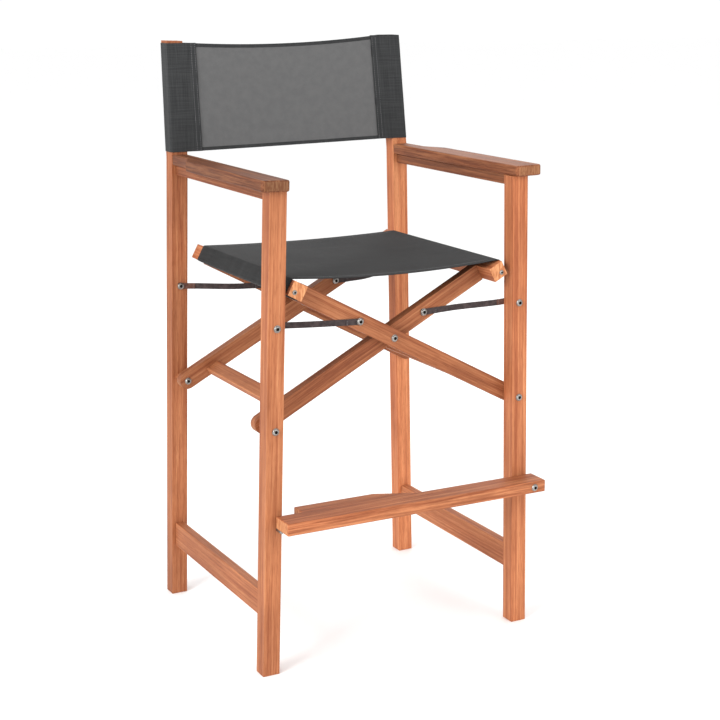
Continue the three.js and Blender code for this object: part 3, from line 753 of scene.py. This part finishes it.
def make_spacer(node, material):
    """A plain spacer ring with eased rims."""
    low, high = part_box(node)
    outer = (high.x - low.x) / 2
    bore = outer * SPACER_BORE
    rim = outer - SPACER_EASE
    height = high.y - low.y
    rings = [
        (round_of(bore), 0.0),
        (round_of(rim), 0.0),
        (round_of(outer), SPACER_EASE),
        (round_of(outer), height - SPACER_EASE),
        (round_of(rim), height),
        (round_of(bore), height),
    ]
    piece = lathe(node + "_ring", rings, material, capped=False)
    mesh = piece.data
    if material is WOOD:
        vector_attribute(mesh, "grain", [Vector((v.co.y, v.co.x, v.co.z)) for v in mesh.vertices])
        even_attribute(mesh, "tone_and_shade", SPACER_TONE)
        even_attribute(mesh, "end_grain", 0.0)
        even_attribute(mesh, "edge", 0.0)
    return placed(piece, node, low.y)


def make_peg(node):
    """A plain dowel with rounded ends."""
    low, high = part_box(node)
    radius = (high.x - low.x) / 2
    height = high.y - low.y
    rings = [
        (round_of(radius * PEG_TIP), 0.0),
        (round_of(radius * PEG_SHOULDER), PEG_TIP_LENGTH),
        (round_of(radius), PEG_END_LENGTH),
        (round_of(radius), height - PEG_END_LENGTH),
        (round_of(radius * PEG_TIP), height),
    ]
    piece = lathe(node + "_steel", rings, STEEL)
    return placed(piece, node, low.y)


def make_fasteners():
    for node in STEEL_NODES:
        if "nut" in node:
            make_nut(node)
        elif "peg" in node:
            make_peg(node)
        elif "spacer" in node:
            make_spacer(node, STEEL)
        else:
            make_bolt(node)
    for end in ENDS:
        make_spacer("pivot_spacer_" + end, WOOD)


# ---------------------------------------------------------------- sheets


def rounded_path(points, radius, steps=5):
    """The points joined by straight lines, with each inner corner turned by an arc-like curve."""
    path = [points[0]]
    for before, corner, after in zip(points, points[1:], points[2:]):
        reach = min(radius, (before - corner).length / 2, (after - corner).length / 2)
        start = corner + (before - corner).normalized() * reach
        end = corner + (after - corner).normalized() * reach
        for step in range(steps + 1):
            t = step / steps
            path.append(start.lerp(corner, t).lerp(corner.lerp(end, t), t))
    path.append(points[-1])
    return path


def resampled(path, spacing):
    """The same line with points no further than spacing apart."""
    fine = [path[0]]
    for first, second in zip(path, path[1:]):
        count = max(1, math.ceil((second - first).length / spacing))
        fine += [first.lerp(second, (step + 1) / count) for step in range(count)]
    return fine


def length_of(path):
    return sum((b - a).length for a, b in zip(path, path[1:]))


def sheet_between(name, rows, material, thickness):
    """A closed sheet through a grid of points, given row by row. Its cloth attribute is in metres."""
    made = bmesh.new()
    across = [0.0]
    for first, second in zip(rows[0], rows[0][1:]):
        across.append(across[-1] + (second - first).length)
    down = [0.0]
    for first, second in zip(rows, rows[1:]):
        middle_of = len(first) // 2
        down.append(down[-1] + (second[middle_of] - first[middle_of]).length)
    grid = [[made.verts.new(p) for p in row] for row in rows]
    for upper, lower in zip(grid, grid[1:]):
        for step in range(len(upper) - 1):
            made.faces.new((upper[step], upper[step + 1], lower[step + 1], lower[step]))
    mesh = bpy.data.meshes.new(name)
    made.to_mesh(mesh)
    made.free()
    vector_attribute(mesh, "cloth", [Vector((u, v, 0)) for v in down for u in across])
    piece = link(name, mesh, material)
    solid = piece.modifiers.new("thickness", "SOLIDIFY")
    solid.thickness = thickness
    solid.offset = 0
    solid.use_even_offset = True
    smooth(applied(piece).data, CLOTH_SHARP)
    return piece


def stitch_line(name, points, body):
    """A row of stitches along a line, each a short rounded thread that dips into the cloth."""
    made = bmesh.new()
    whole = length_of(points)
    place = STITCH_GAP
    while place + STITCH_LENGTH < whole:
        first = point_along(points, place)
        last = point_along(points, place + STITCH_LENGTH)
        add_stitch(made, first, last)
        place += STITCH_LENGTH + STITCH_GAP
    mesh = bpy.data.meshes.new(name)
    made.to_mesh(mesh)
    made.free()
    smooth(mesh, CLOTH_SHARP)
    piece = link(name, mesh, THREAD)
    if body:
        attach(piece, body)
    return piece


def point_along(points, distance):
    for first, second in zip(points, points[1:]):
        step = (second - first).length
        if distance <= step:
            return first.lerp(second, distance / max(step, 1e-9))
        distance -= step
    return points[-1].copy()


def add_stitch(made, first, last):
    """A spindle from one needle hole to the next."""
    way = (last - first).normalized()
    other = Vector((0, 0, 1)) if abs(way.z) < NEARLY_PARALLEL else Vector((0, 1, 0))
    side = way.cross(other).normalized()
    rise = side.cross(way)
    rings = []
    for share, size in STITCH_SHAPE:
        centre = first.lerp(last, share)
        ring = []
        for step in range(STITCH_SIDES):
            angle = 2 * math.pi * step / STITCH_SIDES
            out = side * math.cos(angle) + rise * math.sin(angle)
            ring.append(made.verts.new(centre + out * STITCH_RADIUS * size))
        rings.append(ring)
    for lower, upper in zip(rings, rings[1:]):
        for step in range(STITCH_SIDES):
            after = (step + 1) % STITCH_SIDES
            made.faces.new((lower[step], lower[after], upper[after], upper[step]))
    made.faces.new(list(reversed(rings[0])))
    made.faces.new(rings[-1])


# ---------------------------------------------------------------- seat


@functools.cache
def rail_corners(side):
    """A seat rail's bottom, outer and top corners in (x, z), moved out to the cloth's middle line."""
    centre = middle("seat_rail_" + side)
    centre.y = 0
    points = [Vector((p.x, 0, p.z)) for p in corners("seat_rail_" + side)]
    bottom = min(points, key=lambda p: p.z)
    outer = max(points, key=lambda p: p.x * OUTWARD[side])
    top = max(points, key=lambda p: p.z)
    out = (CLOTH_CLEARANCE + CANVAS / 2) * math.sqrt(2)
    return [p + (p - centre).normalized() * out for p in (bottom, outer, top)]


def seat_line(share):
    """The seat's section at a share of the way from front to back: rail, cloth across, rail."""
    bottom_l, outer_l, top_l = rail_corners("left")
    bottom_r, outer_r, top_r = rail_corners("right")
    sag = SEAT_SAG + SEAT_FRONT_DIP * (1 - share) ** 6 + SEAT_BACK_DIP * share ** 2
    across = []
    for step in range(2, SEAT_STEPS - 1):
        t = step / SEAT_STEPS
        drop = sag * (1 - (2 * t - 1) ** 2)
        across.append(top_l.lerp(top_r, t) - Vector((0, 0, drop)))
    start = bottom_l.lerp(outer_l, SEAT_TUCK_SHARE)
    end = bottom_r.lerp(outer_r, SEAT_TUCK_SHARE)
    return rounded_path([start, outer_l, top_l, *across, top_r, outer_r, end], RAIL_CORNER)


def seat_rows():
    low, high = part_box("seat_cloth")
    rows = []
    for row in range(SEAT_ROWS + 1):
        share = row / SEAT_ROWS
        y = low.y + (high.y - low.y) * share
        rows.append([Vector((p.x, y, p.z)) for p in seat_line(share)])
    return rows


def make_seat():
    rows = seat_rows()
    seat = sheet_between("seat_canvas", rows, SEAT_CANVAS, CANVAS)
    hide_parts("seat_cloth")
    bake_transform(seat)
    reach = rail_corners("right")[2].x - SEAT_SEAM_END
    lift = Vector((0, 0, CANVAS / 2 + SEAT_THREAD_LIFT))
    seams = (("seat_stitches_front", rows[SEAT_SEAM_ROW]), ("seat_stitches_back", rows[-SEAT_SEAM_ROW - 1]))
    for name, row in seams:
        line = [p + lift for p in row if abs(p.x) < reach]
        threads = stitch_line(name, line, None)
        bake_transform(threads)


# ---------------------------------------------------------------- back


@functools.cache
def post_line(side):
    """The back post's corners at its bend, and at its top."""
    points = corners("back_post_" + side)
    top = max(p.z for p in points)
    bend = [p.z for p in points if POST_BEND[0] < p.z < POST_BEND[1]]
    upper = [p for p in points if p.z > top - TOP_BAND]
    lower = [p for p in points if min(bend) - BEND_BAND <= p.z <= max(bend) + BEND_BAND]
    return lower, upper


@functools.cache
def post_edge(side, outer, back):
    """The two ends of one long edge of the raked stretch of a back post."""
    way = Vector((OUTWARD[side] * (1 if outer else -1), 1 if back else -1, 0))
    return [max(points, key=way.dot) for points in post_line(side)]


def post_corner(side, outer, back, z):
    """A corner of the raked stretch of a back post at height z."""
    low, high = post_edge(side, outer, back)
    return low.lerp(high, (z - low.z) / (high.z - low.z))


def sleeve_height(side, share):
    """A height on a sleeve, at a share of the way up it."""
    low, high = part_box("back_sleeve_" + side)
    bottom_lift, top_lift = SLEEVE_LIFT[side]
    return (low.z + bottom_lift) * (1 - share) + (high.z + top_lift) * share


def sleeve_section(side, share, ripple=0):
    """The sleeve's line: front layer from its edge, round the post, and back to the edge."""
    z = sleeve_height(side, share)
    outward = OUTWARD[side]
    out = CLOTH_CLEARANCE + CANVAS / 2

    def clear_of(outer, back):
        away = Vector((outward * (1 if outer else -1), 1 if back else -1, 0))
        return post_corner(side, outer, back, z) + away * out

    front_in = clear_of(False, False)
    front_out = clear_of(True, False)
    back_out = clear_of(True, True)
    back_in = clear_of(False, True)
    wing = SLEEVE_WING[side][0] * (1 - share) + SLEEVE_WING[side][1] * share
    edge_front = front_in + Vector((-outward * wing, ripple, 0))
    edge_back = edge_front + Vector((0, SLEEVE_GAP, 0))
    seam_back = edge_front + Vector((outward * SLEEVE_OVERLAP, SLEEVE_GAP, 0))
    line = [edge_front, front_in, front_out, back_out, back_in, seam_back, edge_back]
    return rounded_path(line, POST_CORNER)


def make_sleeve(side):
    shares = [step / SLEEVE_ROWS for step in range(SLEEVE_ROWS + 1)]
    rows = []
    for share in shares:
        ripple = RIPPLE * math.sin(share * RIPPLE_TURN + RIPPLE_PHASE[side])
        rows.append(resampled(sleeve_section(side, share, ripple), SLEEVE_SPACING))
    fewest = min(len(row) for row in rows)
    rows = [evenly(row, fewest) for row in rows]
    name = "back_sleeve_" + side + "_canvas"
    sleeve = sheet_between(name, rows, SLEEVE_CANVAS, CANVAS)
    body = side + "_frame"
    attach(sleeve, body)
    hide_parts("back_sleeve_" + side)
    for label, inset in SLEEVE_SEAMS:
        out = Vector((OUTWARD[side] * inset, -CANVAS / 2 - THREAD_LIFT, 0))
        line = [sleeve_section(side, share)[0] + out for share in shares]
        stitch_line(f"sleeve_stitches_{label}_{side}", line, body)


def evenly(path, count):
    """The line with exactly count points, evenly spread along it."""
    whole = length_of(path)
    return [point_along(path, whole * step / (count - 1)) for step in range(count)]


def panel_edge(side, share):
    """The middle of the panel's thickness at its tucked edge, at a share of the way up."""
    edge = sleeve_section(side, share)[0]
    return edge + Vector((OUTWARD[side] * PANEL_TUCK, SLEEVE_GAP / 2, 0))


def panel_row(share):
    """One row of the back panel. Its edges sag, and its middle bellies back a little."""
    left = panel_edge("left", share)
    right = panel_edge("right", share)
    sag = PANEL_SAG[0] * (1 - share) + PANEL_SAG[1] * share
    row = []
    for step in range(PANEL_STEPS + 1):
        across = step / PANEL_STEPS
        belly = 4 * across * (1 - across)
        row.append(left.lerp(right, across) + Vector((0, PANEL_BELLY * belly, -sag * belly)))
    return row


def make_panel():
    rows = [panel_row(step / PANEL_ROWS) for step in range(PANEL_ROWS + 1)]
    panel = sheet_between("back_panel_mesh", rows, MESH, MESH_THICKNESS)
    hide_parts("back_panel")
    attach(panel, "left_frame")
    hems = [
        make_hem("back_hem_bottom", rows[:HEM_ROWS]),
        make_hem("back_hem_top", rows[-HEM_ROWS:]),
    ]
    for piece in [panel, *hems]:
        flatten_with_fold(piece)


def make_hem(name, rows):
    """The folded-over canvas edge of the panel, a little thicker than the mesh it holds."""
    hem = sheet_between(name, rows, SLEEVE_CANVAS, MESH_THICKNESS + HEM_RISE * 2)
    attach(hem, "left_frame")
    return hem


def flatten_with_fold(piece):
    """Gives the piece a mesh of its own."""
    anchor = panel_edge("left", 0.5)
    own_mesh(piece)


# ---------------------------------------------------------------- straps


def strap_ends(node):
    """The strap's centre line at its post end and at its bar end."""
    points = corners(node)
    outermost = max(abs(p.x) for p in points)
    innermost = min(abs(p.x) for p in points)
    at_post = [p for p in points if abs(p.x) > outermost - STRAP_END_BAND]
    at_bar = [p for p in points if abs(p.x) < innermost + STRAP_END_BAND]
    return mean_of(at_post), mean_of(at_bar)


def strap_line(node):
    """The strap's centre line from post to bar: flat on the post, a smooth step, flat on the bar."""
    post, bar = strap_ends(node)
    way = (bar - post).normalized()
    trim = Vector((way.x, 0, way.z)) * STRAP_TRIM
    post = post + trim
    bar = bar - trim
    line = []
    for step in range(STRAP_STEPS + 1):
        share = step / STRAP_STEPS
        eased = min(1.0, max(0.0, (share - STRAP_BEND_START) / STRAP_BEND_SHARE))
        eased = eased * eased * (3 - 2 * eased)
        hang = WEBBING_SLACK * 4 * share * (1 - share)
        line.append(Vector((
            post.x + (bar.x - post.x) * share,
            post.y + (bar.y - post.y) * eased,
            post.z + (bar.z - post.z) * share - hang,
        )))
    return line


def folded_line(line):
    """The line of a strap whose two ends are folded back over its front."""
    back = Vector((0, WEBBING_LAYERS / 2, 0))
    spacing = (line[1] - line[0]).length
    count = round(WEBBING_FOLD / spacing)
    first = [p - back for p in reversed(line[1:count])]
    last = [p - back for p in reversed(line[-count:-1])]  # both stop short of the line's end points
    behind = [p + back for p in line]
    way = line[-1] - line[0]
    way.y = 0
    way.normalize()
    at_post = turn(first[-1], behind[0], -way)
    at_bar = turn(behind[-1], last[0], way)
    return first + at_post + behind + at_bar + last


def turn(start, end, away):
    """A half circle between two layers, past the end of both."""
    centre = (start + end) / 2
    radius = (end - start).length / 2
    points = []
    for step in range(1, 4):
        angle = math.pi * step / 4
        points.append(centre + (start - centre) * math.cos(angle) + away * radius * math.sin(angle))
    return points


def make_strap(node):
    """Webbing with doubled ends, stitched across each fold."""
    line = folded_line(strap_line(node))
    half = Vector((0, 0, WEBBING_WIDTH / 2))
    rows = [[p - half, p - half * 0.5, p, p + half * 0.5, p + half] for p in line]
    strap = sheet_between(node + "_webbing", rows, WEBBING_LOOK, WEBBING)
    turn_cloth(strap.data)
    along = [item.vector.x for item in strap.data.attributes["cloth"].data]
    float_attribute(strap.data, "folded", [1.0 if place < WEBBING_FOLD else 0.0 for place in along])
    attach(strap, BODY_OF[node])
    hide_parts(node)
    for end, p in (("post", line[1]), ("bar", line[-2])):
        out = Vector((0, -WEBBING / 2 - THREAD_LIFT, 0))
        ends = [p + out - half, p + out + half]
        stitch_line(f"{node}_stitches_{end}", ends, BODY_OF[node])


def turn_cloth(mesh):
    """Swaps the cloth coordinate's axes, so that its first runs along the strap."""
    layer = mesh.attributes["cloth"].data
    for item in layer:
        across, along, rest = item.vector
        item.vector = (along, across, rest)


def make_straps():
    for side in SIDES:
        for end in ENDS:
            make_strap(f"strap_{end}_{side}")


# ---------------------------------------------------------------- floor, light and camera


def make_stage():
    mesh = bpy.data.meshes.new("floor")
    made = bmesh.new()
    corner_signs = ((-1, -1), (1, -1), (1, 1), (-1, 1))
    made.faces.new([made.verts.new((x * FLOOR_HALF, y * FLOOR_HALF, -FLOOR_DROP)) for x, y in corner_signs])
    made.to_mesh(mesh)
    made.free()
    tree = Tree("pale_floor")
    tree.shader.inputs["Base Color"].default_value = (FLOOR_SHADE, FLOOR_SHADE, FLOOR_SHADE, 1)
    tree.shader.inputs["Roughness"].default_value = 0.9
    floor = link("floor", mesh, tree.material)


def add_area(name, place, size, power):
    light = bpy.data.lights.new(name, "AREA")
    light.shape = "SQUARE"
    light.size = size
    light.energy = power
    lamp = bpy.data.objects.new(name, light)
    lamp.location = place
    lamp.rotation_euler = (Vector(LIT_POINT) - Vector(place)).to_track_quat("-Z", "Y").to_euler()
    bpy.context.scene.collection.objects.link(lamp)


def make_lights():
    world = bpy.data.worlds.new("studio")
    bpy.context.scene.world = world
    world.use_nodes = True
    background = world.node_tree.nodes["Background"]
    background.inputs["Color"].default_value = (1.0, 1.0, 1.0, 1)
    background.inputs["Strength"].default_value = WORLD_STRENGTH
    bpy.context.scene.view_settings.view_transform = "Standard"
    for name, place, size, power in LIGHTS:
        add_area(name, place, size, power)


def make_camera():
    data = bpy.data.cameras.new("camera")
    data.lens = CAMERA_LENS
    data.sensor_width = CAMERA_SENSOR
    camera = bpy.data.objects.new("camera", data)
    aim = (CAMERA_TARGET - CAMERA_PLACE).to_track_quat("-Z", "Y")
    camera.rotation_mode = "QUATERNION"
    camera.rotation_quaternion = aim @ Matrix.Rotation(CAMERA_ROLL, 4, "Z").to_quaternion()
    camera.location = CAMERA_PLACE
    bpy.context.scene.collection.objects.link(camera)
    bpy.context.scene.camera = camera


# ---------------------------------------------------------------- the chair

make_wood()
make_fasteners()
make_seat()
for sleeve_side in SIDES:
    make_sleeve(sleeve_side)
make_panel()
make_straps()
make_stage()
make_lights()
make_camera()
